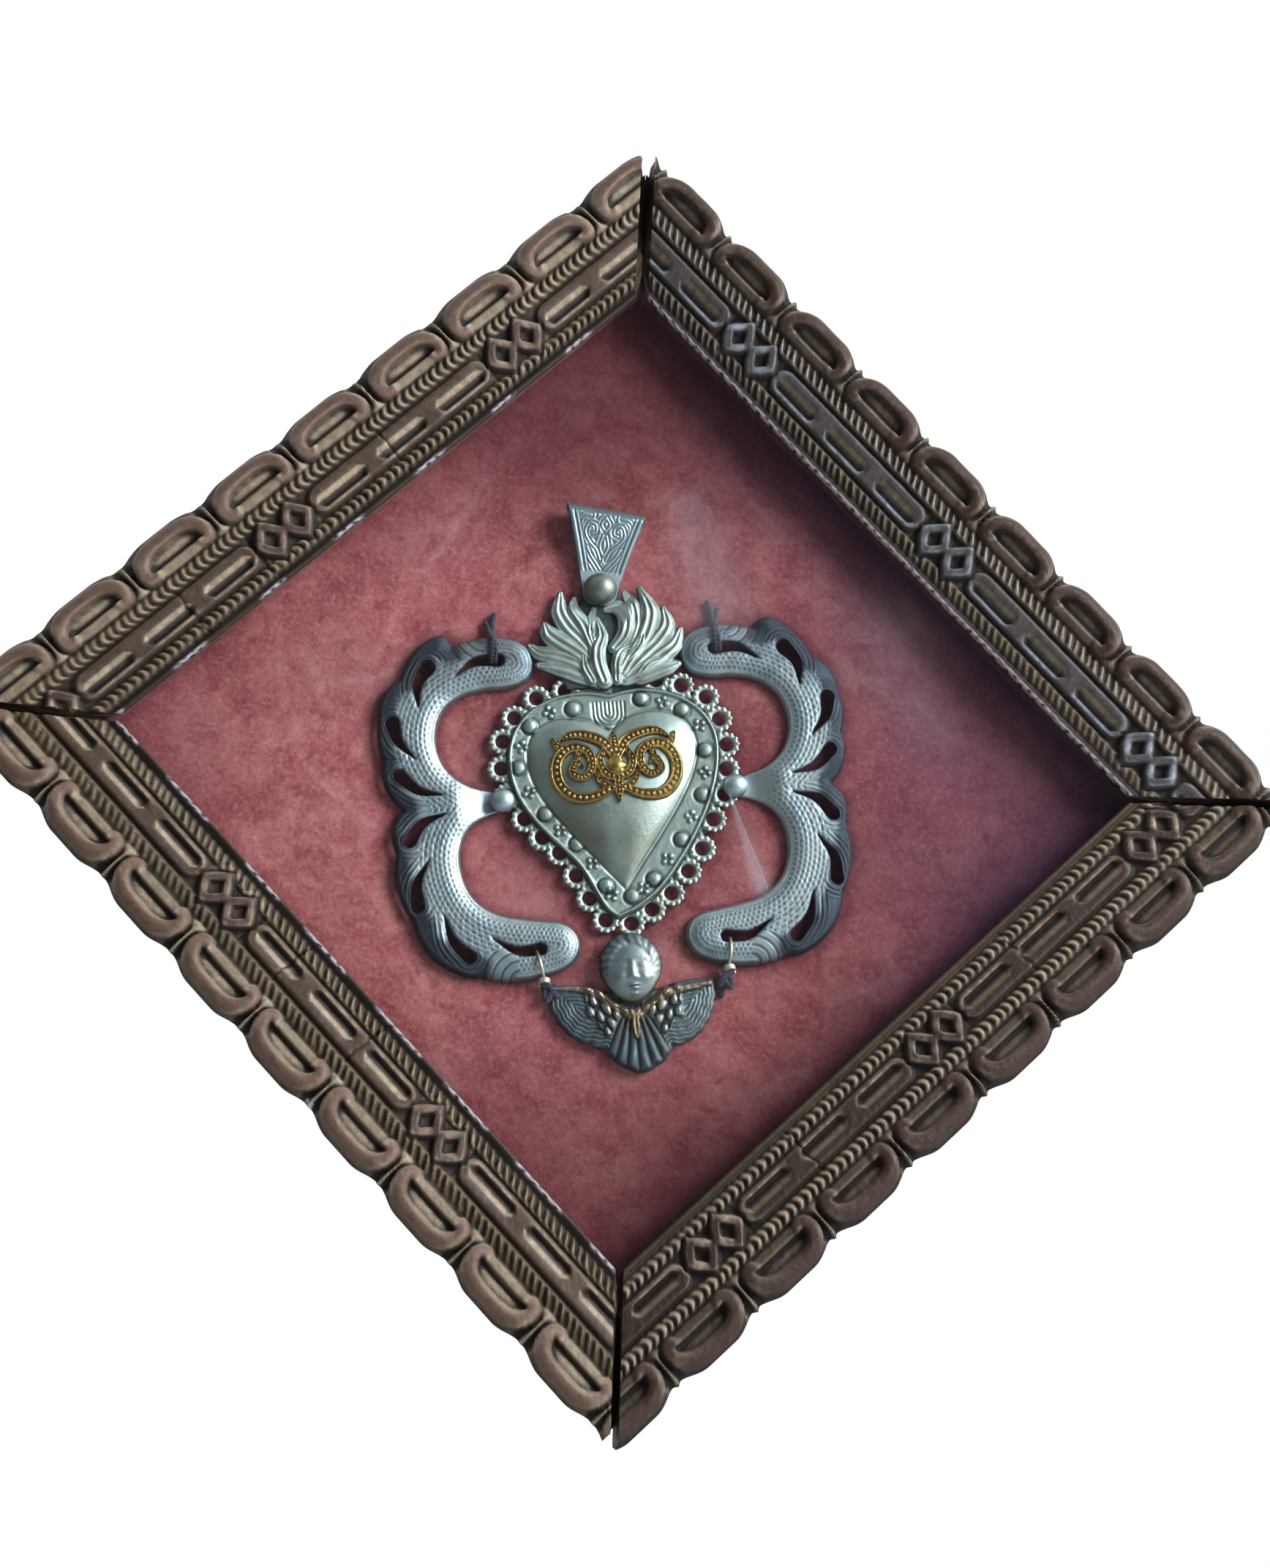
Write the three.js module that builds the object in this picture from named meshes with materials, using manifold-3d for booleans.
// Ex-voto: a silver heart under glass in a carved shadow box, hung as a diamond.
// Millimetres. The finished object has +X to the right, +Z up and its front towards -Y;
// its origin is the middle of the back board's rear face, which lies against the wall.
// Every piece is drawn face on: x to the right, y up and z out of the wall.
import * as THREE from 'three';
import { mergeGeometries, mergeVertices } from 'three/addons/utils/BufferGeometryUtils.js';
import Module from 'manifold-3d';

const wasm = await Module();
wasm.setup();

// Clearances
const SEAT = 0.3;
const HOLE_PLAY = 0.3;

// Frame: outer size over the scallops, across the two pairs of rails
const FRAME_ACROSS_RISING = 280;
const FRAME_ACROSS_FALLING = 287;
const RAIL_WIDTH = 36;
const MITRE_GAP_TOP = 4.2;
const MITRE_GAP = 2.4;

// Layers, from the wall outwards
const BACK_BOARD_THICK = 3.2;
const MOUNT_BOARD_THICK = 3.6;
const CLOTH_THICK = 1.0;
const SILVER = 0.8;
const GILT_THICK = 0.8;
const GLASS_THICK = 1.5;
const GLASS_CLEARANCE = 0.5;
const GLASS_REBATE = 1.7;

// How far the raised work stands up from its own layer
const WING_RISE = 2.6;
const HEART_RISE = 3.9;
const HEART_RIM_RISE = 0.7;
const FLAME_RISE = 2.4;
const CHERUB_WING_RISE = 2.2;
const BAIL_LIFT = 4.7;
const SIDE_RIVET = { head: 3.7, rise: 3.0, stem: 1.1 };
const BAIL_RIVET = { head: 5.0, rise: 4.4, stem: 1.2 };
const CHERUB_HEAD = { wide: 9.3, tall: 10.6, rise: 5.4 };

// Heights above the wall that follow from the layers
const MOUNT_BOARD_BACK = BACK_BOARD_THICK + SEAT;
const CLOTH_BACK = MOUNT_BOARD_BACK + MOUNT_BOARD_THICK + SEAT;
const CLOTH_FACE = CLOTH_BACK + CLOTH_THICK;
const WING_BACK = CLOTH_FACE + SEAT;
const LACE_BACK = WING_BACK + SILVER + SEAT;
const HEART_BACK = LACE_BACK + SILVER + SEAT;
const GILT_BACK = HEART_BACK + SILVER + SEAT;
const ORNAMENT_TOP = Math.max(
  GILT_BACK + HEART_RISE + GILT_THICK,
  HEART_BACK + CHERUB_HEAD.rise,
  HEART_BACK + BAIL_LIFT + SILVER,
  HEART_BACK + SILVER + SEAT + BAIL_RIVET.rise,
  WING_BACK + SILVER + WING_RISE + 1.6,
);
const GLASS_BACK = ORNAMENT_TOP + GLASS_CLEARANCE;
const LIP_UNDERSIDE = GLASS_BACK + GLASS_THICK + SEAT;
const RAIL_UNDERSIDE = LIP_UNDERSIDE - GLASS_REBATE;
const BOX_DEPTH = RAIL_UNDERSIDE - SEAT;

// Distances in from the outer line of the scallops
const BOX_INSET = 6;
const BOX_SIDE_THICK = 18;
const BACK_REBATE = 8;
const LIP_OVERHANG = 8;
const GLASS_SIDE_PLAY = 1;
const FILLET_SETBACK = 2;
const BOX_INNER = BOX_INSET + BOX_SIDE_THICK;
const BACK_BOARD_EDGE = BOX_INNER - BACK_REBATE + SEAT;
const GLASS_EDGE = RAIL_WIDTH - LIP_OVERHANG;
const GLASS_SHOULDER = GLASS_EDGE - GLASS_SIDE_PLAY;
const FILLET_FACE = RAIL_WIDTH - FILLET_SETBACK;

// Scalloped outer edge: the spacing of the scrolls, and where they fall along each rail
const SCROLL_PITCH_RISING = 30.4;
const SCROLL_PITCH_FALLING = 29.5;
const SCALLOP_DEPTH = 3.2;
const TONGUE_WIDTH = 2.6;
const TONGUE_HEIGHT = 1.6;

// Corner nails and back brads
const NAIL = { shank: 0.9, head: 2.1, headThick: 0.8, length: 26 };
const NAIL_FROM_CORNER = 9;
const NAIL_HEIGHTS = [6.5, 12.8];
const BRAD = { shank: 0.6, head: 1.3, headThick: 0.6, length: 12 };
const BRAD_PLACES = [-0.55, 0.55];

// Hanging plate, its screws and its ring, let into the back of the top corner
const HANGER_PLATE_BACK = 2.6;
const HANGER_PLATE_THICK = 1.2;
const HANGER_ARM = 32;
const HANGER_ARM_WIDTH = 7;
const HANGER_INSET = 2.6;
const HANGER_PIVOT_DROP = 25;
const HANGER_EYE = { outer: 1.5, bore: 1.1, width: 2.6, height: 1.6 };
const HANGER_RING = { radius: 8, wire: 0.7 };
const HANGER_SCREW = { shank: 0.8, head: 1.7, headThick: 0.7, length: 8 };
const HANGER_SCREW_PLACES = [9, 25];
const RING_CLEARANCE = 1;

// Ornament: where its middle lies on the cloth, its lean and the places of its rivets
const ORNAMENT_AT = [-2.3, -8.1];
const ORNAMENT_LEAN = THREE.MathUtils.degToRad(7.6);
const SIDE_RIVET_AT = 34.6;
const BAIL_PIVOT = [0, 63.6];
const CHERUB_HEAD_AT = [-1.7, -52.8];

// Bail: its lean from the ornament's own axis, its height above the rivet and its widths
const BAIL_LEAN = THREE.MathUtils.degToRad(-9.3);
const BAIL_HEIGHT = 25.5;
const BAIL_TOP_WIDTH = 24.5;
const BAIL_FOOT_WIDTH = 10.6;
const BAIL_FOLD = 3;

// Lace border of the heart's back plate
const LACE_RINGS = 24;
const LACE_RING = { outer: 4.1, hole: 2.3 };
const LACE_REACH = 2.6;
const LACE_TOP_OPENING = 22;

// Thread ties and wire knots
const THREAD = 0.35;
const WIRE = 0.45;

// Finishes
const finish = (color, roughness, metalness) => new THREE.MeshStandardMaterial({ color, roughness, metalness });
const walnut = finish(0x5b4a3a, 0.6, 0);
const boxWood = finish(0x3a2c20, 0.8, 0);
const board = finish(0x8a7350, 0.9, 0);
const velvet = finish(0x9a4c58, 0.95, 0);
const glass = new THREE.MeshStandardMaterial({ color: 0xe8f0f0, roughness: 0.05, transparent: true, opacity: 0.2 });
const silver = finish(0xb9b5a8, 0.35, 1);
const darkSilver = finish(0x5c5a58, 0.45, 1);
const gilt = finish(0xb8862b, 0.35, 1);
const steel = finish(0x55504a, 0.55, 1);
const brass = finish(0x9a7b3c, 0.4, 1);
const thread = finish(0x23202a, 0.9, 0);
const wire = finish(0xcfc6b4, 0.4, 1);

// Solids and booleans

function toSolid(geometry) {
  const bare = geometry.clone();
  bare.deleteAttribute('normal');
  if (bare.getAttribute('uv')) bare.deleteAttribute('uv');
  const merged = mergeVertices(bare, 1e-4);
  return new wasm.Manifold(new wasm.Mesh({
    numProp: 3,
    vertProperties: new Float32Array(merged.getAttribute('position').array),
    triVerts: new Uint32Array(merged.getIndex().array),
  }));
}

function toGeometry(solid) {
  const mesh = solid.getMesh();
  const geometry = new THREE.BufferGeometry();
  geometry.setAttribute('position', new THREE.BufferAttribute(new Float32Array(mesh.vertProperties), 3));
  geometry.setIndex(new THREE.BufferAttribute(new Uint32Array(mesh.triVerts), 1));
  geometry.computeVertexNormals();
  return geometry;
}

function subtract(geometry, cutters) {
  let solid = toSolid(geometry);
  for (const cutter of cutters) solid = solid.subtract(toSolid(cutter));
  return toGeometry(solid);
}

function union(geometries) {
  let solid = toSolid(geometries[0]);
  for (const geometry of geometries.slice(1)) solid = solid.add(toSolid(geometry));
  return toGeometry(solid);
}

function intersect(a, b) {
  return toGeometry(toSolid(a).intersect(toSolid(b)));
}

// Shapes

function polygon(points) {
  return new THREE.Shape(points.map(([x, y]) => new THREE.Vector2(x, y)));
}

// A closed outline of quadratic curves: each step gives a control point and an end point.
function curvedOutline(start, steps) {
  const shape = new THREE.Shape();
  shape.moveTo(...start);
  for (const [cx, cy, x, y] of steps) shape.quadraticCurveTo(cx, cy, x, y);
  return shape;
}

function bezierOutline(start, steps) {
  const shape = new THREE.Shape();
  shape.moveTo(...start);
  for (const step of steps) shape.bezierCurveTo(...step);
  return shape;
}

function plate(shape, from, to, curveSegments = 6) {
  const geometry = new THREE.ExtrudeGeometry(shape, { depth: to - from, bevelEnabled: false, curveSegments });
  return geometry.translate(0, 0, from);
}

// A pin's hole along z, through everything between two heights.
function hole(x, y, radius, from, to, sides = 16) {
  const geometry = new THREE.CylinderGeometry(radius, radius, to - from, sides);
  return geometry.rotateX(Math.PI / 2).translate(x, y, (from + to) / 2);
}

// A turned piece about z: profile points are [radius, height].
function turned(profile, sides = 16) {
  const points = profile.map(([radius, height]) => new THREE.Vector2(radius, height));
  return new THREE.LatheGeometry(points, sides).rotateX(Math.PI / 2);
}

function tube(points, radius, steps, sides = 6) {
  const path = new THREE.CatmullRomCurve3(points.map((point) => new THREE.Vector3(...point)));
  const section = new THREE.Shape();
  for (let i = 0; i < sides; i += 1) {
    const angle = (i / sides) * Math.PI * 2;
    const at = [radius * Math.cos(angle), radius * Math.sin(angle)];
    if (i === 0) section.moveTo(...at);
    else section.lineTo(...at);
  }
  section.closePath();
  return new THREE.ExtrudeGeometry(section, { steps, extrudePath: path, curveSegments: 1 });
}

// Sheet metal raised from the back: a flat plate, its triangles split until no edge is longer
// than the given length, then lifted by a height that depends on the place.

// Swaps diagonals between neighbouring level triangles until each pair has its rounder split.
function evenOut(points, faces) {
  const level = ([a, b, c]) => points[a].z === points[b].z && points[b].z === points[c].z;
  const cornerAngle = (at, p, q) => {
    const toP = points[p].clone().sub(points[at]);
    const toQ = points[q].clone().sub(points[at]);
    return toP.angleTo(toQ);
  };
  for (let pass = 0; pass < 12; pass += 1) {
    const owner = new Map();
    faces.forEach((face, i) => face.forEach((a, k) => owner.set(`${a}_${face[(k + 1) % 3]}`, i)));
    const touched = new Set();
    faces.forEach((face, i) => {
      for (let k = 0; k < 3 && !touched.has(i); k += 1) {
        const [a, b, c] = [face[k], face[(k + 1) % 3], face[(k + 2) % 3]];
        const j = owner.get(`${b}_${a}`);
        if (j === undefined || touched.has(j) || !level(face) || !level(faces[j])) continue;
        const d = faces[j].find((corner) => corner !== a && corner !== b);
        if (cornerAngle(c, a, b) + cornerAngle(d, a, b) <= Math.PI + 1e-4) continue;
        if (owner.has(`${c}_${d}`) || owner.has(`${d}_${c}`)) continue;
        faces[i] = [a, d, c];
        faces[j] = [d, b, c];
        touched.add(i).add(j);
      }
    });
    if (touched.size === 0) break;
  }
}

function refine(geometry, longest) {
  const bare = geometry.clone();
  bare.deleteAttribute('normal');
  bare.deleteAttribute('uv');
  const merged = mergeVertices(bare, 1e-4);
  const points = [];
  const source = merged.getAttribute('position');
  for (let i = 0; i < source.count; i += 1) points.push(new THREE.Vector3().fromBufferAttribute(source, i));
  let faces = [];
  const index = merged.getIndex().array;
  for (let i = 0; i < index.length; i += 3) faces.push([index[i], index[i + 1], index[i + 2]]);
  evenOut(points, faces);
  let split = true;
  while (split) {
    split = false;
    const middles = new Map();
    const middle = (a, b) => {
      if (points[a].distanceTo(points[b]) <= longest) return -1;
      const key = a < b ? `${a}_${b}` : `${b}_${a}`;
      if (!middles.has(key)) {
        points.push(points[a].clone().add(points[b]).multiplyScalar(0.5));
        middles.set(key, points.length - 1);
      }
      return middles.get(key);
    };
    const next = [];
    for (const face of faces) {
      const cuts = [0, 1, 2].map((k) => middle(face[k], face[(k + 1) % 3]));
      const count = cuts.filter((cut) => cut >= 0).length;
      if (count === 0) {
        next.push(face);
        continue;
      }
      split = true;
      if (count === 3) {
        next.push([face[0], cuts[0], cuts[2]], [cuts[0], face[1], cuts[1]]);
        next.push([cuts[2], cuts[1], face[2]], [cuts[0], cuts[1], cuts[2]]);
        continue;
      }
      // Turn the face so that its first edge is cut, and with two cuts its second edge too.
      let turn = cuts.findIndex((cut) => cut >= 0);
      if (count === 2 && cuts[(turn + 1) % 3] < 0) turn = (turn + 2) % 3;
      const [a, b, c] = [0, 1, 2].map((k) => face[(turn + k) % 3]);
      const ab = cuts[turn];
      const bc = cuts[(turn + 1) % 3];
      if (count === 1) next.push([a, ab, c], [ab, b, c]);
      else next.push([ab, b, bc], [a, ab, bc], [a, bc, c]);
    }
    faces = next;
    evenOut(points, faces);
  }
  const refined = new THREE.BufferGeometry();
  refined.setAttribute('position', new THREE.Float32BufferAttribute(points.flatMap((p) => p.toArray()), 3));
  refined.setIndex(faces.flat());
  return refined;
}

function lift(geometry, height) {
  const position = geometry.getAttribute('position');
  for (let i = 0; i < position.count; i += 1) {
    position.setZ(i, position.getZ(i) + height(position.getX(i), position.getY(i)));
  }
  geometry.computeVertexNormals();
  return geometry;
}

function raisedSheet(shape, back, longest, height, curveSegments = 5) {
  return lift(refine(plate(shape, back, back + SILVER, curveSegments), longest), height);
}

// The outlines of a shape and of its holes, as closed lists of points.
function outlinesOf(shape, curveSegments = 8) {
  const { shape: outer, holes } = shape.extractPoints(curveSegments);
  return [outer, ...holes];
}

function distanceToOutlines(x, y, outlines) {
  let least = Infinity;
  for (const outline of outlines) {
    for (let i = 0; i < outline.length; i += 1) {
      const a = outline[i];
      const b = outline[(i + 1) % outline.length];
      const [dx, dy] = [b.x - a.x, b.y - a.y];
      const along = dx * dx + dy * dy > 0 ? ((x - a.x) * dx + (y - a.y) * dy) / (dx * dx + dy * dy) : 0;
      const t = Math.min(1, Math.max(0, along));
      least = Math.min(least, Math.hypot(x - a.x - t * dx, y - a.y - t * dy));
    }
  }
  return least;
}

function isInside(x, y, outline) {
  let inside = false;
  for (let i = 0, j = outline.length - 1; i < outline.length; j = i, i += 1) {
    const [a, b] = [outline[i], outline[j]];
    if (a.y > y !== b.y > y && x < ((b.x - a.x) * (y - a.y)) / (b.y - a.y) + a.x) inside = !inside;
  }
  return inside;
}

// A rounded swell that rises from 0 at an edge to 1 at the given distance inside it.
function swell(distance, reach) {
  const t = Math.min(1, Math.max(0, distance / reach));
  return Math.sqrt(1 - (1 - t) ** 2);
}

// The four sides of the diamond

const half = { rising: FRAME_ACROSS_RISING / 2, falling: FRAME_ACROSS_FALLING / 2 };
const SIDES = [
  { name: 'upper_left', turn: 45, out: half.falling, along: half.rising, scrollShift: 1.4 },
  { name: 'upper_right', turn: -45, out: half.rising, along: half.falling, scrollShift: 0 },
  { name: 'lower_right', turn: -135, out: half.falling, along: half.rising, scrollShift: 6.7 },
  { name: 'lower_left', turn: 135, out: half.rising, along: half.falling, scrollShift: 0 },
];
for (const side of SIDES) {
  side.angle = THREE.MathUtils.degToRad(side.turn);
  side.scrollPitch = side.along === half.rising ? SCROLL_PITCH_RISING : SCROLL_PITCH_FALLING;
  side.group = new THREE.Group();
  side.group.rotation.z = side.angle;
  side.group.position.set(-Math.sin(side.angle) * side.out, Math.cos(side.angle) * side.out, 0);
}
const TOP_CORNER = [(half.rising - half.falling) / Math.SQRT2, (half.rising + half.falling) / Math.SQRT2];

// Each side is drawn with its outer line on y = 0 and the middle of the frame towards -y.
// Its ends are mitred from the corner, each drawn back by a gap of its own.
function mitred(side, inset, depth, gapStart, gapEnd) {
  const back = (gap) => (gap / 2) * Math.SQRT2;
  const [start, end] = [back(gapStart) - side.along, side.along - back(gapEnd)];
  return [[start + inset, -inset], [end - inset, -inset], [end - depth, -depth], [start + depth, -depth]];
}

// The scalloped outer edge: a flat-topped arch for each scroll, with a small tongue in each valley.
function scallopedOutline(side, gapStart, gapEnd) {
  const [outerStart, outerEnd, innerEnd, innerStart] = mitred(side, 0, RAIL_WIDTH, gapStart, gapEnd);
  const points = [];
  const pitch = side.scrollPitch;
  const count = Math.ceil(side.along / pitch) + 1;
  const arch = (t) => -SCALLOP_DEPTH * Math.abs(t) ** 3.2;
  for (let i = -count; i <= count; i += 1) {
    const middle = side.scrollShift + i * pitch;
    const reach = (pitch - TONGUE_WIDTH) / 2;
    for (const t of [-1, -0.8, -0.45, 0.45, 0.8, 1]) points.push([middle + t * reach, arch(t)]);
    points.push([middle + pitch / 2, TONGUE_HEIGHT - SCALLOP_DEPTH]);
  }
  // The mitre runs inwards at 45 degrees from each end of the outer line.
  const within = points.filter(([u, v]) => u > outerStart[0] - v && u < outerEnd[0] + v);
  const first = within[0];
  const last = within[within.length - 1];
  const onStart = [outerStart[0] - first[1], first[1]];
  const onEnd = [outerEnd[0] + last[1], last[1]];
  return polygon([innerStart, onStart, ...within, onEnd, innerEnd].reverse());
}

// Carved moulding rails: high outer band, two roped beads, a sunk chain band, a cove and a thin lip.
function railSection() {
  const crest = [
    [2.5, 0], [0.6, 3.3], [0, 4.7], [1.2, 6.9], [4, 8.7], [7.5, 9.3], [11, 8.6], [14, 7.2],
    [15.1, 7.3], [16.2, 7.9], [17.3, 7.2], [18.2, 5.9],
  ];
  const inner = [
    [8.1, 4.4], [6.8, 4.9], [5.4, 5.4], [4.2, 4.5], [3.2, 3.1], [2.2, 3.0], [1.6, 3.8], [0.7, 3.9], [0, 3.1],
  ];
  return polygon([
    ...crest.map(([v, rise]) => [v, RAIL_UNDERSIDE + rise]),
    ...inner.map(([fromLip, rise]) => [RAIL_WIDTH - fromLip, RAIL_UNDERSIDE + rise]),
    [RAIL_WIDTH, LIP_UNDERSIDE], [GLASS_SHOULDER, LIP_UNDERSIDE], [GLASS_SHOULDER, RAIL_UNDERSIDE],
  ]);
}

// Sweeps a section given as [distance in, height] along the whole side.
function alongSide(side, section) {
  const geometry = new THREE.ExtrudeGeometry(section, { depth: side.along * 2, bevelEnabled: false });
  const turnUpright = new THREE.Matrix4().makeBasis(
    new THREE.Vector3(0, -1, 0),
    new THREE.Vector3(0, 0, 1),
    new THREE.Vector3(-1, 0, 0),
  );
  return geometry.applyMatrix4(turnUpright).translate(side.along, 0, 0);
}

const mesh = (name, geometry, material) => {
  const piece = new THREE.Mesh(geometry, material);
  piece.name = name;
  return piece;
};

function gapsOf(side) {
  if (side.name === 'upper_left') return [MITRE_GAP, MITRE_GAP_TOP];
  if (side.name === 'upper_right') return [MITRE_GAP_TOP, MITRE_GAP];
  return [MITRE_GAP, MITRE_GAP];
}

function carvedRail(side) {
  const [gapStart, gapEnd] = gapsOf(side);
  const section = alongSide(side, railSection());
  const outline = plate(scallopedOutline(side, gapStart, gapEnd), 0, 2 * RAIL_UNDERSIDE);
  return mesh(`carved_rail_${side.name}`, intersect(section, outline), walnut);
}

// Places along a side where its corner nails and back brads go
function cornerNails(side) {
  return [-1, 1].map((end, i) => ({
    name: `corner_nail_${side.name}_${end < 0 ? 'start' : 'end'}`,
    u: end * (side.along - BOX_INSET - NAIL_FROM_CORNER),
    z: NAIL_HEIGHTS[i],
  }));
}

function backBrads(side) {
  return BRAD_PLACES.map((share, i) => ({
    name: `back_brad_${side.name}_${i + 1}`,
    u: share * side.along,
    v: BOX_INNER - BACK_REBATE / 2,
  }));
}

// A headed nail: its head's outer face is at 0 and its point runs along +z.
function nailGeometry({ shank, head, headThick, length }, sides = 8) {
  return turned([[0, 0], [head, 0], [head, headThick], [shank, headThick],
    [shank, length - 2 * shank], [0, length]], sides);
}

function nailRoom({ shank, head, headThick, length }, sides = 8) {
  return turned([[0, -1], [head + HOLE_PLAY, -1], [head + HOLE_PLAY, headThick + HOLE_PLAY],
    [shank + HOLE_PLAY, headThick + HOLE_PLAY], [shank + HOLE_PLAY, length + HOLE_PLAY],
    [0, length + HOLE_PLAY]], sides);
}

// Turns a nail drawn along +z so that it runs into the side along -y.
const driveInwards = (geometry, u, v, z) => geometry.rotateX(Math.PI / 2).translate(u, -v, z);

// The nails of the whole frame, as cutters in the frame's own coordinates, and in a side's.
function placeOnSide(geometry, side) {
  side.group.updateMatrix();
  return geometry.applyMatrix4(side.group.matrix);
}

const nailCutters = SIDES.flatMap((side) => cornerNails(side).map(({ u, z }) => (
  placeOnSide(driveInwards(nailRoom(NAIL), u, BOX_INSET, z), side))));
const bradCutters = SIDES.flatMap((side) => backBrads(side).map(({ u, v }) => (
  placeOnSide(nailRoom(BRAD).translate(u, -v, 0), side))));

// Hanging plate at the back of the top corner: two arms along the upper sides, and an eye
const PLATE_APEX = TOP_CORNER[1] - (BOX_INSET + HANGER_INSET) * Math.SQRT2;
const PIVOT_HEIGHT = TOP_CORNER[1] - BOX_INSET * Math.SQRT2 - HANGER_PIVOT_DROP;
const RING_FOOT = PIVOT_HEIGHT - 2 * HANGER_RING.radius - HANGER_RING.wire;

function hangerOutline(grow) {
  const across = HANGER_ARM_WIDTH * Math.SQRT2;
  const reach = HANGER_ARM / Math.SQRT2;
  const tongue = HANGER_EYE.width / 2 + grow;
  const x = TOP_CORNER[0];
  const apex = PLATE_APEX + grow * Math.SQRT2;
  const inner = PLATE_APEX - across - grow * Math.SQRT2;
  const end = [reach + grow * Math.SQRT2, apex - reach - grow * Math.SQRT2];
  const bend = [end[0] - (apex - inner) / 2, inner - (end[0] - (apex - inner) / 2)];
  return polygon([
    [x, apex], [x - end[0], end[1]], [x - bend[0], bend[1]], [x - tongue, inner - tongue],
    [x - tongue, PIVOT_HEIGHT], [x + tongue, PIVOT_HEIGHT], [x + tongue, inner - tongue],
    [x + bend[0], bend[1]], [x + end[0], end[1]],
  ]);
}

const hangerScrewPlaces = [-1, 1].flatMap((way) => HANGER_SCREW_PLACES.map((along, i) => ({
  name: `hanger_screw_${way < 0 ? 'left' : 'right'}_${i + 1}`,
  x: TOP_CORNER[0] + (way * along) / Math.SQRT2,
  y: PLATE_APEX - (HANGER_ARM_WIDTH / 2) * Math.SQRT2 - along / Math.SQRT2,
})));
const hangerCutters = [
  plate(hangerOutline(SEAT), -1, HANGER_PLATE_BACK + HANGER_PLATE_THICK + SEAT),
  ...hangerScrewPlaces.map(({ x, y }) => nailRoom(HANGER_SCREW).translate(x, y, HANGER_PLATE_BACK)),
  hole(TOP_CORNER[0], PIVOT_HEIGHT + HANGER_RING.radius,
    HANGER_RING.radius + HANGER_RING.wire + RING_CLEARANCE, -1, HANGER_PLATE_BACK, 32),
];

function boxSide(side) {
  const section = polygon([
    [BOX_INSET, 0], [BOX_INSET, BOX_DEPTH], [BOX_INNER, BOX_DEPTH],
    [BOX_INNER, BACK_BOARD_THICK + SEAT], [BOX_INNER - BACK_REBATE, BACK_BOARD_THICK + SEAT],
    [BOX_INNER - BACK_REBATE, 0],
  ]);
  const outline = plate(polygon(mitred(side, BOX_INSET, BOX_INNER, SEAT, SEAT)), -1, BOX_DEPTH + 1);
  const blank = intersect(alongSide(side, section), outline);
  const placed = placeOnSide(blank, side);
  const cutters = [...nailCutters, ...bradCutters];
  if (side.name.startsWith('upper')) cutters.push(...hangerCutters);
  return mesh(`box_side_${side.name}`, subtract(placed, cutters), boxWood);
}

function nails(side) {
  return cornerNails(side).map(({ name, u, z }) => (
    mesh(name, placeOnSide(driveInwards(nailGeometry(NAIL), u, BOX_INSET, z), side), steel)));
}

function brads(side) {
  return backBrads(side).map(({ name, u, v }) => (
    mesh(name, placeOnSide(nailGeometry(BRAD).translate(u, -v, 0), side), steel)));
}

// A flat diamond whose edges lie a given distance in from the outer line
function innerDiamond(inset) {
  const [a, b] = [half.rising - inset, half.falling - inset];
  const corner = (p, q) => [(p * a + q * b) / Math.SQRT2, (p * a - q * b) / Math.SQRT2];
  return [corner(1, 1), corner(1, -1), corner(-1, -1), corner(-1, 1)];
}

function glassPane() {
  const outline = polygon(innerDiamond(GLASS_EDGE));
  return mesh('glass_pane', plate(outline, GLASS_BACK, GLASS_BACK + GLASS_THICK), glass);
}

// Cloth-covered fillets between the cloth and the glass
function fillet(side) {
  const outline = polygon(mitred(side, BOX_INNER + SEAT, FILLET_FACE, SEAT, SEAT));
  const strip = plate(outline, CLOTH_FACE + SEAT, GLASS_BACK - SEAT);
  return mesh(`fillet_${side.name}`, placeOnSide(strip, side), velvet);
}

function mountBoard() {
  const outline = polygon(innerDiamond(BOX_INNER + SEAT));
  return mesh('mount_board', plate(outline, MOUNT_BOARD_BACK, MOUNT_BOARD_BACK + MOUNT_BOARD_THICK), board);
}

function redCloth() {
  return mesh('red_cloth', plate(polygon(innerDiamond(BOX_INNER + SEAT)), CLOTH_BACK, CLOTH_FACE), velvet);
}

// The back board's top corner is cut off, so that the ring folds flat in the corner
function backBoard() {
  const blank = plate(polygon(innerDiamond(BACK_BOARD_EDGE)), 0, BACK_BOARD_THICK);
  const corner = new THREE.BoxGeometry(80, 80, 20).translate(TOP_CORNER[0], RING_FOOT - 2 * RING_CLEARANCE + 40, 0);
  return mesh('back_board', subtract(blank, [...bradCutters, corner]), boxWood);
}

function hangerPlate() {
  const sheet = plate(hangerOutline(0), HANGER_PLATE_BACK, HANGER_PLATE_BACK + HANGER_PLATE_THICK);
  const across = (radius, width) => {
    const barrel = new THREE.CylinderGeometry(radius, radius, width, 16);
    return barrel.rotateZ(Math.PI / 2).translate(TOP_CORNER[0], PIVOT_HEIGHT, HANGER_EYE.height);
  };
  const joined = union([sheet, across(HANGER_EYE.outer, HANGER_EYE.width)]);
  const screwRooms = hangerScrewPlaces.map(({ x, y }) => (
    nailRoom(HANGER_SCREW).translate(x, y, HANGER_PLATE_BACK)));
  return mesh('hanger_plate', subtract(joined, [across(HANGER_EYE.bore, 20), ...screwRooms]), brass);
}

function hangerScrews() {
  return hangerScrewPlaces.map(({ name, x, y }) => (
    mesh(name, nailGeometry(HANGER_SCREW).translate(x, y, HANGER_PLATE_BACK), steel)));
}

function hangerRing() {
  const ring = new THREE.TorusGeometry(HANGER_RING.radius, HANGER_RING.wire, 6, 24);
  ring.translate(TOP_CORNER[0], PIVOT_HEIGHT - HANGER_RING.radius, HANGER_EYE.height);
  return mesh('hanger_ring', ring, brass);
}

// Scroll wings: pierced acanthus plates, drawn for the right and mirrored for the left

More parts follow.
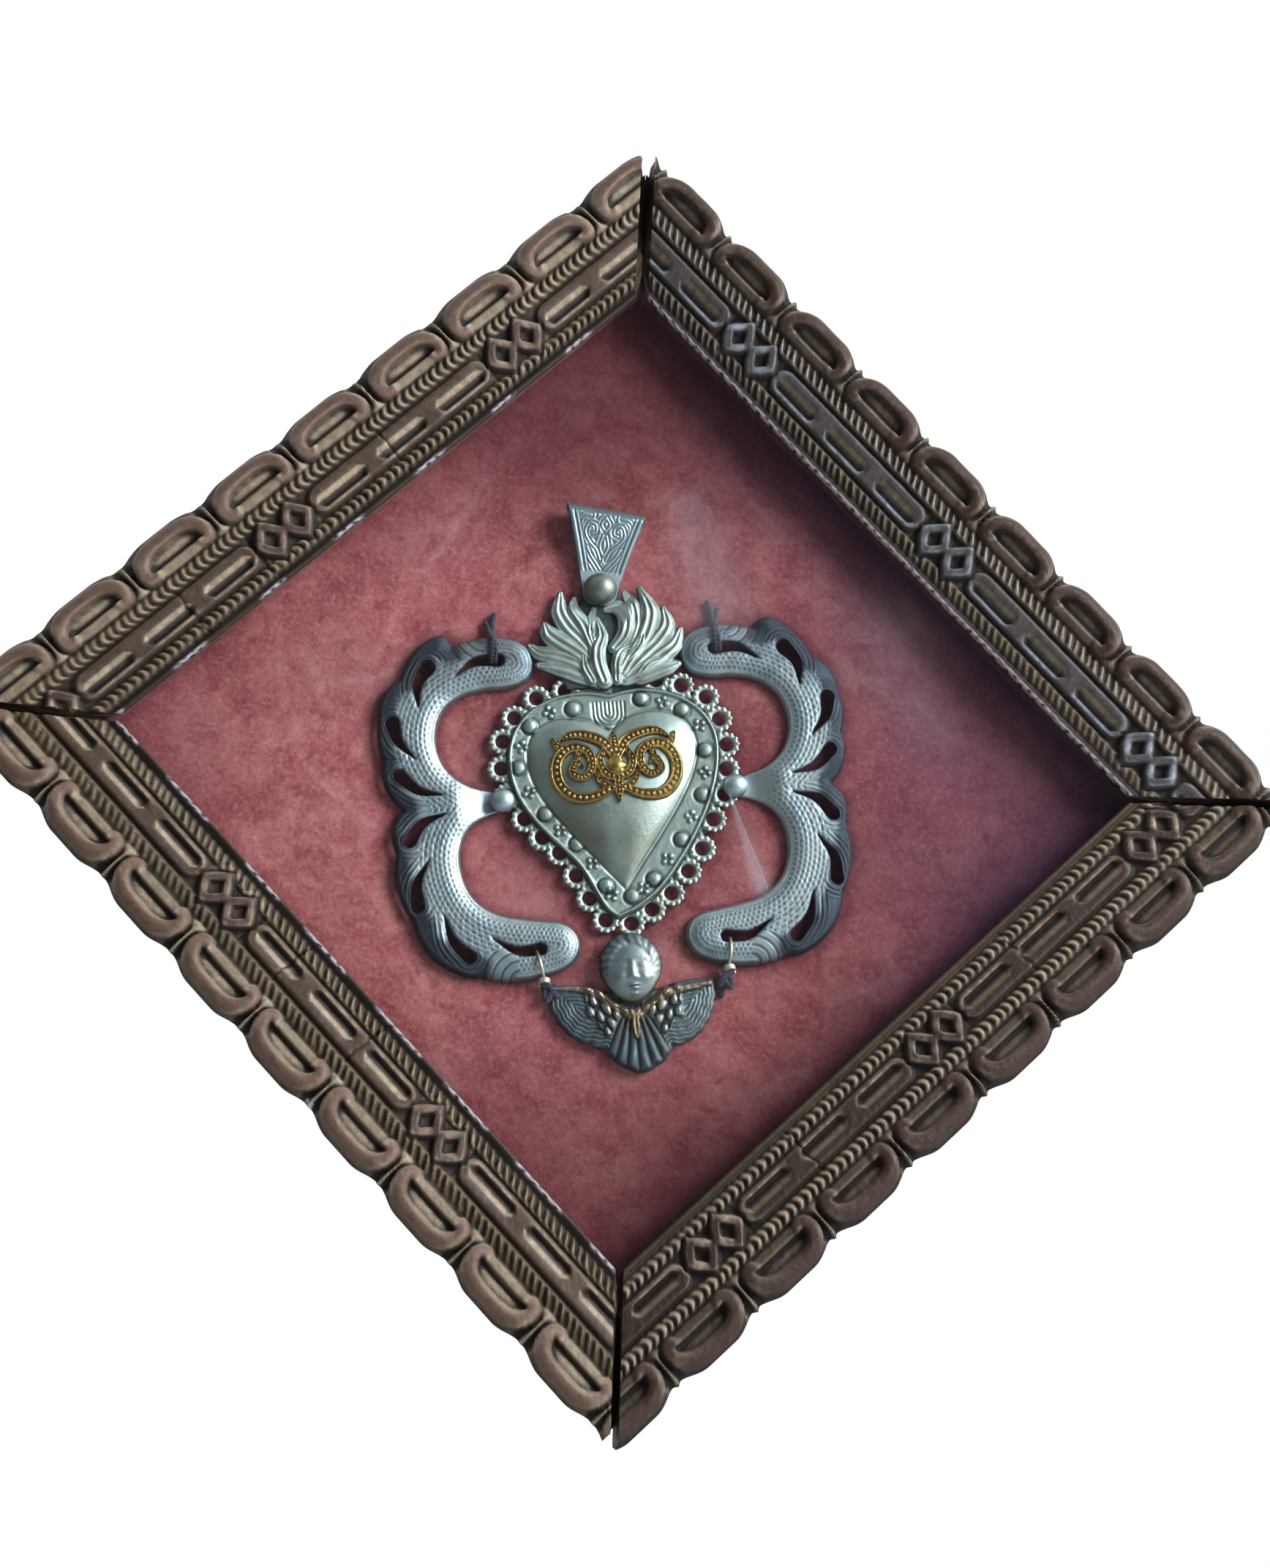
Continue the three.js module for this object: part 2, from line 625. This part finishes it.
function teardrop([cx, cy], radius, [tipX, tipY]) {
  const away = Math.atan2(cy - tipY, cx - tipX);
  const path = new THREE.Path();
  path.moveTo(tipX, tipY);
  for (let i = 0; i <= 6; i += 1) {
    const angle = away - Math.PI / 2 + (i / 6) * Math.PI;
    path.lineTo(cx + radius * Math.cos(angle), cy + radius * Math.sin(angle));
  }
  path.closePath();
  return path;
}

const WING_SLOTS = [
  [[33.5, 43.3], 2.1, [45.5, 39.2]],
  [[54, 42], 2.4, [57.3, 30.5]],
  [[64.4, 26.2], 2.3, [59.3, 14.3]],
  [[62.8, 9], 2.3, [52.6, 3.2]],
  [[62.3, -11], 2.3, [52.2, -3.2]],
  [[61.8, -29.5], 2.2, [57.6, -17]],
  [[48.8, -46], 2.2, [54.2, -34]],
  [[28.5, -45.4], 2.1, [41, -41.8]],
];

function wingShape() {
  const tab = SIDE_RIVET.stem + 1.9;
  const shape = curvedOutline([21.8, 41.5], [
    [21.5, 48.5, 28, 50.2], [36, 52.8, 45.5, 49.2], [47, 53.4, 50.5, 52.6], [58.5, 49.5, 62.2, 39.2],
    [68.5, 37, 69.4, 27], [70.6, 19, 68.6, 14.6], [71, 6, 63.8, -0.8], [69.6, -5, 66.8, -14],
    [69.6, -24, 63.6, -34.2], [61.5, -46, 52, -50.5], [48.5, -52.6, 45.6, -52], [36, -55.5, 27, -53.3],
    [15.6, -51.5, 15.4, -44.3], [15.6, -38.4, 22.5, -36.9], [28.5, -36.2, 36, -34.6],
    [48.5, -30.8, 48.3, -17], [48, -6, SIDE_RIVET_AT + 2, -tab],
  ]);
  shape.absarc(SIDE_RIVET_AT, 0, tab, -Math.PI / 2, Math.PI / 2, true);
  shape.quadraticCurveTo(52.4, 5.5, 52.6, 19.5);
  shape.quadraticCurveTo(52, 33.8, 36, 34.6);
  shape.quadraticCurveTo(22.6, 33.6, 21.8, 41.5);
  for (const [wide, radius, tip] of WING_SLOTS) shape.holes.push(teardrop(wide, radius, tip));
  return shape;
}

function scrollWing(way) {
  const shape = wingShape();
  const outlines = outlinesOf(shape);
  const tabReach = 9;
  const height = (x, y) => {
    const fromTab = Math.hypot(x - SIDE_RIVET_AT, y) - tabReach;
    return WING_RISE * swell(distanceToOutlines(x, y, outlines), 5) * swell(fromTab, 7);
  };
  const sheet = raisedSheet(shape, WING_BACK, 7.5, height, 3);
  const pinHole = hole(SIDE_RIVET_AT, 0, SIDE_RIVET.stem + HOLE_PLAY, 0, ORNAMENT_TOP, 12);
  let wing = subtract(sheet, [pinHole]);
  if (way < 0) {
    const mirrored = toSolid(wing).mirror([1, 0, 0]);
    wing = toGeometry(mirrored);
  }
  return mesh(`scroll_wing_${way < 0 ? 'left' : 'right'}`, wing, silver);
}

// Heart: its rim leans to the left at the tip, and a smooth dome rises inside it

const HEART_RIM = bezierOutline([-0.8, 30.4], [
  [3, 31.2, 6.5, 32.3, 11, 31.6],
  [20, 31, 31.5, 24.5, 30.8, 12],
  [30.2, -1, 22, -14.5, 14.5, -24],
  [9, -31, 4, -35.2, -3.6, -37.6],
  [-9, -35.5, -9.5, -27.5, -14.5, -20.5],
  [-21, -12, -33, -3, -32, 12],
  [-31.5, 24.5, -21, 31, -11.5, 31.6],
  [-7, 32.2, -3.8, 31.2, -0.8, 30.4],
]);
const HEART_DOME = bezierOutline([-1, 17.8], [
  [1, 22.5, 7, 24.8, 12.5, 24.6],
  [20.5, 24.2, 24.6, 19, 24, 11.5],
  [22.5, 0, 8, -16, -0.8, -29],
  [-11, -16, -25.5, -2, -26.1, 10.5],
  [-26.5, 19, -21.5, 23.8, -15.5, 23.8],
  [-9, 23.6, -3, 22, -1, 17.8],
]);
const domeOutlines = outlinesOf(HEART_DOME, 6);
const rimOutlines = outlinesOf(HEART_RIM, 6);

function heartHeight(x, y) {
  const fromRim = distanceToOutlines(x, y, rimOutlines);
  const rim = HEART_RIM_RISE * Math.max(0, 1 - Math.abs(fromRim - 0.9) / 0.9);
  if (!isInside(x, y, domeOutlines[0])) return rim;
  return HEART_RISE * swell(distanceToOutlines(x, y, domeOutlines), 19);
}

function heartShell() {
  return mesh('heart_shell', raisedSheet(HEART_RIM, HEART_BACK, 7.5, heartHeight, 4), silver);
}

// Back plate of the heart with its border of rings. The rings start beside the flames,
// run down both flanks past the side rivets and meet at the tip.
function laceRingCentres() {
  const outline = HEART_RIM.getSpacedPoints(240);
  const centres = [];
  const total = HEART_RIM.getLength();
  for (let i = 0; i < LACE_RINGS; i += 1) {
    const pitch = (total - LACE_TOP_OPENING) / LACE_RINGS;
    const along = (LACE_TOP_OPENING / 2 + (i + 0.5) * pitch) / total;
    const at = Math.round(along * 240);
    const [before, here, after] = [outline[(at + 238) % 240], outline[at % 240], outline[(at + 2) % 240]];
    const tangent = after.clone().sub(before).normalize();
    centres.push([here.x - tangent.y * LACE_REACH, here.y + tangent.x * LACE_REACH]);
  }
  return centres;
}

function lacePlate() {
  const centres = laceRingCentres();
  const top = LACE_BACK + SILVER;
  const blanks = centres.map(([x, y]) => hole(x, y, LACE_RING.outer, LACE_BACK, top, 9));
  const ears = [-1, 1].map((way) => hole(way * SIDE_RIVET_AT, 0, SIDE_RIVET.head, LACE_BACK, top, 12));
  const neck = plate(polygon([[-12, 20], [10.5, 20], [10, 37], [-11.5, 37]]), LACE_BACK, top);
  const whole = union([plate(HEART_RIM, LACE_BACK, top, 3), neck, ...blanks, ...ears]);
  const holes = centres.map(([x, y]) => hole(x, y, LACE_RING.hole, 0, ORNAMENT_TOP, 7));
  const pins = [-1, 1].map((way) => hole(way * SIDE_RIVET_AT, 0, SIDE_RIVET.stem + HOLE_PLAY, 0, ORNAMENT_TOP, 8));
  return mesh('lace_plate', subtract(whole, [...holes, ...pins]), silver);
}

function ballRivet(name, [x, y], { head, rise, stem }, seat, foot) {
  const profile = [[0, foot], [stem, foot], [stem, seat], [head * 0.9, seat]];
  for (let i = 0; i < 5; i += 1) {
    const angle = (i / 5) * (Math.PI / 2);
    profile.push([head * Math.cos(angle), seat + 0.4 + (rise - 0.4) * Math.sin(angle)]);
  }
  profile.push([0, seat + rise]);
  return mesh(name, turned(profile, 14).translate(x, y, 0), silver);
}

// Flame plume: tongues that fan out from the neck, with a round seat for the bail at the top
const FLAME_ROOT = [-1, 34.5];
const FLAME_FOOT = [[-12.5, 33], [11.5, 33]];
const FLAME_TIPS = [
  [-20.6, 41.4], [-20.2, 50.4], [-17.6, 55.4], [-11.3, 64.6], [12, 64.8], [20.6, 58.4], [21.6, 51.2], [20.6, 40.6],
];
const FLAME_HUB = 6;

function flameShape() {
  const shape = new THREE.Shape();
  const [rootX, rootY] = FLAME_ROOT;
  const valley = (a, b, share) => [
    rootX + ((a[0] + b[0]) / 2 - rootX) * share,
    rootY + ((a[1] + b[1]) / 2 - rootY) * share,
  ];
  shape.moveTo(...FLAME_FOOT[0]);
  let from = FLAME_FOOT[0];
  const curl = (tip, side) => {
    const [dx, dy] = [tip[0] - from[0], tip[1] - from[1]];
    shape.quadraticCurveTo(from[0] + dx * 0.5 - side * dy * 0.16, from[1] + dy * 0.5 + side * dx * 0.16, ...tip);
    from = tip;
  };
  FLAME_TIPS.forEach((tip, i) => {
    curl(tip, i < 4 ? -1 : 1);
    const next = FLAME_TIPS[i + 1];
    if (i === 3) {
      curl([-FLAME_HUB, BAIL_PIVOT[1] - 3], 1);
      shape.absarc(...BAIL_PIVOT, FLAME_HUB, Math.PI * 1.17, Math.PI * -0.17, true);
      from = [FLAME_HUB, BAIL_PIVOT[1] - 3];
    } else if (next) {
      curl(valley(tip, next, 0.74), i < 4 ? 1 : -1);
    }
  });
  curl(FLAME_FOOT[1], -1);
  return shape;
}

function flames() {
  const shape = flameShape();
  const outlines = outlinesOf(shape);
  const stepDown = HEART_BACK - LACE_BACK;
  const height = (x, y) => {
    const rise = THREE.MathUtils.smoothstep(y, 41, 50);
    const fromHub = Math.hypot(x - BAIL_PIVOT[0], y - BAIL_PIVOT[1]) - FLAME_HUB - 6;
    const ridge = 0.7 + 0.3 * Math.cos(Math.atan2(x - FLAME_ROOT[0], y - FLAME_ROOT[1]) * 9);
    const relief = FLAME_RISE * ridge * swell(distanceToOutlines(x, y, outlines), 3);
    return relief * swell(fromHub, 5) - stepDown * rise;
  };
  const sheet = raisedSheet(shape, HEART_BACK, 4.5, height, 3);
  return mesh('flames', subtract(sheet, [hole(...BAIL_PIVOT, BAIL_RIVET.stem + HOLE_PLAY, 0, ORNAMENT_TOP, 12)]), silver);
}

// Bail: a strip of silver folded over at the top: front leaf, fold and back leaf.
// Each station down the strip is [height above the pivot, height above the wall, outward direction].
function bailStations() {
  const frontMiddle = HEART_BACK + SILVER / 2;
  const backMiddle = WING_BACK + SILVER / 2;
  const foldFoot = BAIL_HEIGHT - BAIL_FOLD - SILVER / 2;
  const flatEnd = BAIL_RIVET.head + 1;
  const rise = (height) => BAIL_LIFT * Math.max(0, (height - flatEnd) / (foldFoot - flatEnd));
  const foot = -0.44 * BAIL_FOOT_WIDTH;
  const stations = [foot, 0.6 * foot, 0, flatEnd, 0.5 * BAIL_HEIGHT, 0.7 * BAIL_HEIGHT, foldFoot]
    .map((height) => [height, frontMiddle + rise(height), [0, 1]]);
  const radius = (frontMiddle + BAIL_LIFT - backMiddle) / 2;
  for (let i = 1; i < 6; i += 1) {
    const angle = (i / 6) * Math.PI;
    const out = [Math.sin(angle), Math.cos(angle)];
    stations.push([foldFoot + BAIL_FOLD * out[0], backMiddle + radius * (1 + out[1]), out]);
  }
  for (const height of [foldFoot, 0.5 * BAIL_HEIGHT, 0, 0.6 * foot, foot]) {
    stations.push([height, backMiddle, [0, -1]]);
  }
  return stations;
}

function bailWidth(height) {
  const share = Math.max(0, height / BAIL_HEIGHT);
  const rounding = height < 0 ? Math.sqrt(Math.max(0.1, 1 - (height / (0.5 * BAIL_FOOT_WIDTH)) ** 2)) : 1;
  return (BAIL_FOOT_WIDTH + (BAIL_TOP_WIDTH - BAIL_FOOT_WIDTH) * share ** 1.15) * rounding;
}

function bail() {
  const points = [];
  const stations = bailStations();
  for (const [height, z, out] of stations) {
    const w = bailWidth(height) / 2;
    const [dy, dz] = [(out[0] * SILVER) / 2, (out[1] * SILVER) / 2];
    const inner = [height - dy, z - dz];
    const outer = [height + dy, z + dz];
    points.push([-w, ...inner], [w, ...inner], [w, ...outer], [-w, ...outer]);
  }
  const faces = [];
  const ring = (i) => [0, 1, 2, 3].map((k) => 4 * i + k);
  for (let i = 0; i + 1 < stations.length; i += 1) {
    const [a, b] = [ring(i), ring(i + 1)];
    for (let k = 0; k < 4; k += 1) {
      const n = (k + 1) % 4;
      faces.push(a[k], b[n], a[n], a[k], b[k], b[n]);
    }
  }
  const [start, end] = [ring(0), ring(stations.length - 1)];
  faces.push(start[0], start[1], start[2], start[0], start[2], start[3]);
  faces.push(end[0], end[2], end[1], end[0], end[3], end[2]);
  const strip = new THREE.BufferGeometry();
  strip.setAttribute('position', new THREE.Float32BufferAttribute(points.flat(), 3));
  strip.setIndex(faces);
  strip.rotateZ(BAIL_LEAN);
  strip.translate(...BAIL_PIVOT, 0);
  const pinHole = hole(...BAIL_PIVOT, BAIL_RIVET.stem + HOLE_PLAY, 0, ORNAMENT_TOP, 12);
  return mesh('bail', subtract(strip, [pinHole]), silver);
}

// Gilt applied ornament: two mirrored pairs of leafy scrolls about a small rosette
function giltOrnament() {
  const arm = (points, widths) => {
    const curve = new THREE.SplineCurve(points.map(([x, y]) => new THREE.Vector2(x, y)));
    const steps = 9;
    const left = [];
    const right = [];
    for (let i = 0; i <= steps; i += 1) {
      const t = i / steps;
      const at = curve.getPoint(t);
      const normal = curve.getTangent(t).rotateAround(new THREE.Vector2(), Math.PI / 2);
      const w = widths[0] * (1 - t) + widths[1] * t + widths[2] * Math.sin(Math.PI * t);
      left.push([at.x + normal.x * w, at.y + normal.y * w]);
      right.push([at.x - normal.x * w, at.y - normal.y * w]);
    }
    return plate(polygon([...left, ...right.reverse()]), GILT_BACK, GILT_BACK + GILT_THICK);
  };
  const [cx, cy] = [-0.6, 7];
  const pieces = [hole(cx, cy, 3, GILT_BACK, GILT_BACK + GILT_THICK, 12)];
  for (const [sx, sy] of [[1, 1], [1, -1], [-1, 1], [-1, -1]]) {
    const place = (list) => list.map(([x, y]) => [cx + sx * x, cy + sy * y]);
    pieces.push(arm(place([[1.5, 0.6], [5, 5], [10, 8.6], [15, 7.2], [16.4, 3.2], [13.4, 1.3], [11.4, 3.4]]),
      [1.0, 0.9, 0.7]));
    pieces.push(arm(place([[1, 1.5], [2.4, 6], [6.6, 8.8], [6.4, 10.6]]), [0.9, 0.4, 0.5]));
  }
  pieces.push(arm([[cx - 17.4, cy], [cx, cy + 0.01], [cx + 17.4, cy]], [0.5, 0.5, 0.7]));
  const flat = refine(union(pieces), 5);
  return mesh('gilt_ornament', lift(flat, (x, y) => heartHeight(x, y)), gilt);
}

// Cherub: a head on a pair of feathered wings
function featheredEdge(shape, tips) {
  let [fromX, fromY] = tips[0];
  for (const [x, y] of tips.slice(1)) {
    const [mx, my] = [(fromX + x) / 2, (fromY + y) / 2];
    shape.quadraticCurveTo(mx + (y - fromY) * 0.35, my - (x - fromX) * 0.35, x, y);
    [fromX, fromY] = [x, y];
  }
}

function cherubWings() {
  const shape = new THREE.Shape();
  shape.moveTo(-25.6, -56.4);
  shape.quadraticCurveTo(-17, -55.6, -8.5, -59);
  shape.lineTo(6, -59);
  shape.quadraticCurveTo(14, -56.2, 21.8, -57.2);
  const right = [[21.8, -57.2], [20.6, -64.5], [15.6, -71.4], [8.6, -77.2], [-1, -83]];
  const left = [[-1, -83], [-10.2, -77.2], [-17.6, -71.6], [-23.6, -64.6], [-25.6, -56.4]];
  featheredEdge(shape, right.map(([x, y]) => [x, y]).reverse().reverse());
  featheredEdge(shape, left);
  const outlines = outlinesOf(shape);
  const height = (x, y) => {
    const fromHead = Math.hypot(x - CHERUB_HEAD_AT[0], y - CHERUB_HEAD_AT[1]) - 13;
    return CHERUB_WING_RISE * swell(distanceToOutlines(x, y, outlines), 6) * swell(fromHead, 5);
  };
  return mesh('cherub_wings', raisedSheet(shape, LACE_BACK, 5.5, height, 4), darkSilver);
}

function cherubHead() {
  const { wide, tall, rise } = CHERUB_HEAD;
  const profile = [[0, 0], [1, 0]];
  for (let i = 1; i < 7; i += 1) {
    const angle = (i / 7) * (Math.PI / 2);
    profile.push([Math.cos(angle), Math.sin(angle)]);
  }
  profile.push([0, 1]);
  const geometry = turned(profile, 20).scale(wide, tall, rise);
  return mesh('cherub_head', geometry.translate(...CHERUB_HEAD_AT, HEART_BACK), darkSilver);
}

// Ties: each thread goes from a slot or from below, over the wing's edge band, to the cloth
function topTie(way) {
  const over = WING_BACK + SILVER + WING_RISE + THREAD + 0.4;
  const low = WING_BACK + THREAD;
  const path = [
    [34.2, 43.4, low], [34.1, 44.3, low + 2], [33.6, 47, over], [33.4, 50.2, over - 0.8],
    [33.3, 53.2, low + 0.8], [33, 55.5, low], [32, 59, low],
  ].map(([x, y, z]) => [x * way, y, z]);
  return mesh(`thread_tie_top_${way < 0 ? 'left' : 'right'}`, tube(path, THREAD, 14), thread);
}

function wireTie(way) {
  const low = WING_BACK + WIRE;
  const over = WING_BACK + SILVER + WING_RISE + WIRE + 0.6;
  const path = [
    [28.4, -45.3, low], [28.3, -46.2, low + 2], [28, -48.6, over], [27.5, -52, over],
    [26.8, -55.4, low + 1.2], [26, -57.8, low], [25.6, -60.6, low + 0.1],
  ].map(([x, y, z]) => [x * way, y, z]);
  return mesh(`wire_tie_bottom_${way < 0 ? 'left' : 'right'}`, tube(path, WIRE, 14), wire);
}

// Assembly

const faceOn = new THREE.Group();
for (const side of SIDES) {
  side.group.add(carvedRail(side));
  faceOn.add(side.group, boxSide(side), ...nails(side), ...brads(side), fillet(side));
}
faceOn.add(glassPane(), mountBoard(), redCloth(), backBoard(), hangerPlate(), ...hangerScrews(), hangerRing());

const ornament = new THREE.Group();
ornament.position.set(...ORNAMENT_AT, 0);
ornament.rotation.z = ORNAMENT_LEAN;
ornament.add(
  scrollWing(-1), scrollWing(1), lacePlate(), heartShell(), giltOrnament(), flames(), bail(),
  ballRivet('bail_rivet', BAIL_PIVOT, BAIL_RIVET, HEART_BACK + SILVER + SEAT, WING_BACK),
  cherubHead(), cherubWings(), topTie(-1), topTie(1), wireTie(-1), wireTie(1),
);
for (const way of [-1, 1]) {
  const name = `side_rivet_${way < 0 ? 'left' : 'right'}`;
  ornament.add(ballRivet(name, [way * SIDE_RIVET_AT, 0], SIDE_RIVET, HEART_BACK, WING_BACK));
}
faceOn.add(ornament);

// Stand the face-on drawing up: its y becomes Z, and its height above the wall becomes -Y
const exVoto = new THREE.Group();
faceOn.rotation.x = Math.PI / 2;
exVoto.add(faceOn);

export default exVoto;
